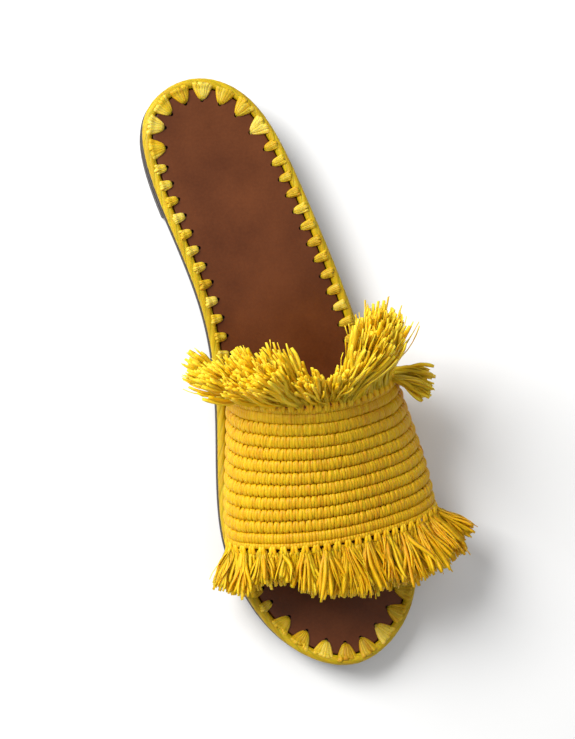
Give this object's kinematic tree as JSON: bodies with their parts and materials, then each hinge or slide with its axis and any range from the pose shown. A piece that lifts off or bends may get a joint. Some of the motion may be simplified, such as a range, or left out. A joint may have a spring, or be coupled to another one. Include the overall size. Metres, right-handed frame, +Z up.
{
  "type": "raffia slide sandal",
  "caption": "Left raffia slide: leather sole and low heel, ribbed crocheted raffia band, a raffia fringe at throat and toe, and a raffia cord whip-stitched round the insole",
  "frame": {"origin": "centre of the heel's flat bottom, on the floor", "axes": "+Z up, -Y towards the toe, +X towards the outer side of the left foot"},
  "size_m": [0.1078, 0.2495, 0.0798],
  "materials": {
    "sole_leather": "dark brown, waxed edge",
    "heel_stack": "dark stacked leather, waxed",
    "insole_leather": "smooth brown, soft gloss",
    "raffia_cord": "twisted raffia, greenish yellow",
    "raffia_crochet": "crocheted raffia in rows, matt with glints",
    "raffia_fringe": "loose dyed raffia strands"
  },
  "bodies": {
    "root": {"outsole": "sole_leather", "heel": "heel_stack", "insole": "insole_leather", "rand": "raffia_cord", "upper": "raffia_crochet", "throat_fringe": "raffia_fringe", "toe_fringe": "raffia_fringe"}
  },
  "joints": []
}
